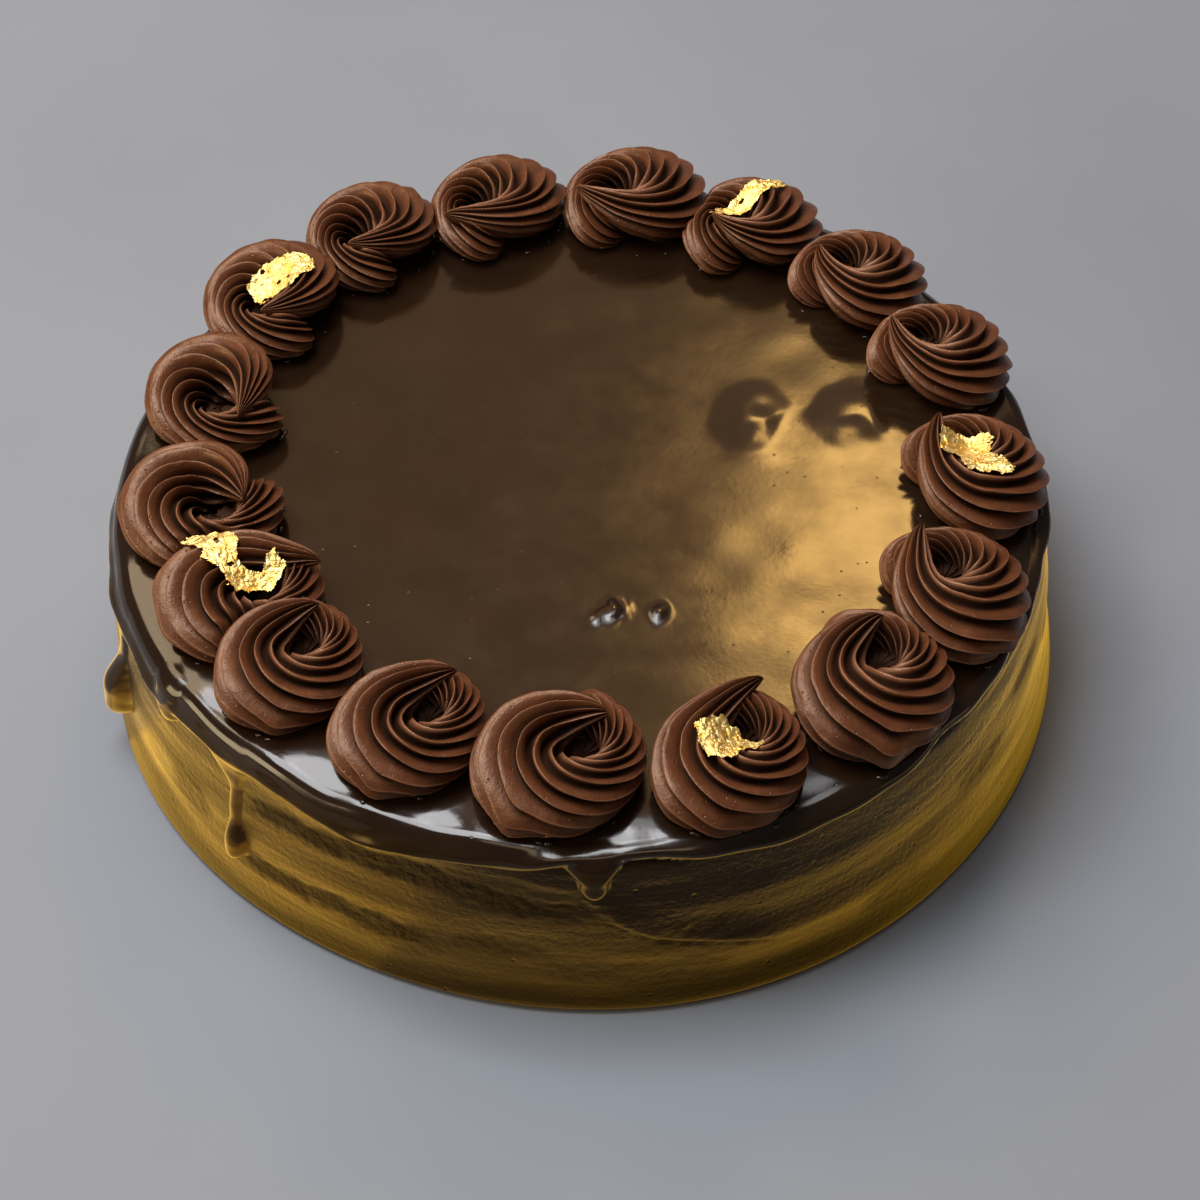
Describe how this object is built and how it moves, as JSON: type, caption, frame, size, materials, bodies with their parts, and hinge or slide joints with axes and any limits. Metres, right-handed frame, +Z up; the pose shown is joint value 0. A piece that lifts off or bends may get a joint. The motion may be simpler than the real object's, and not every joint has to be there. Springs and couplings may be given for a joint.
{
  "type": "chocolate mud cake",
  "caption": "Round chocolate mud cake with dark side icing, a glossy poured glaze that drips over the edge, a border of piped rosettes and flakes of gold leaf.",
  "frame": {"origin": "middle of the cake's flat base, on the surface that it stands on", "axes": "+Z up through the middle of the cake, -Y towards the side that the picture shows in front, +X to its right"},
  "size_m": [0.204, 0.204, 0.061],
  "materials": {
    "side_icing": "satin",
    "glaze": "gloss",
    "cream": "satin",
    "gold": "polished"
  },
  "bodies": {
    "root": {"cake": "side_icing", "glaze": "glaze", "rosette_01": "cream", "rosette_02": "cream", "rosette_03": "cream", "rosette_04": "cream", "rosette_05": "cream", "rosette_06": "cream", "rosette_07": "cream", "rosette_08": "cream", "rosette_09": "cream", "rosette_10": "cream", "rosette_11": "cream", "rosette_12": "cream", "rosette_13": "cream", "rosette_14": "cream", "rosette_15": "cream", "rosette_16": "cream", "rosette_17": "cream", "gold_leaf_1": "gold", "gold_leaf_2": "gold", "gold_leaf_3": "gold", "gold_leaf_4": "gold", "gold_leaf_5": "gold"}
  },
  "joints": []
}
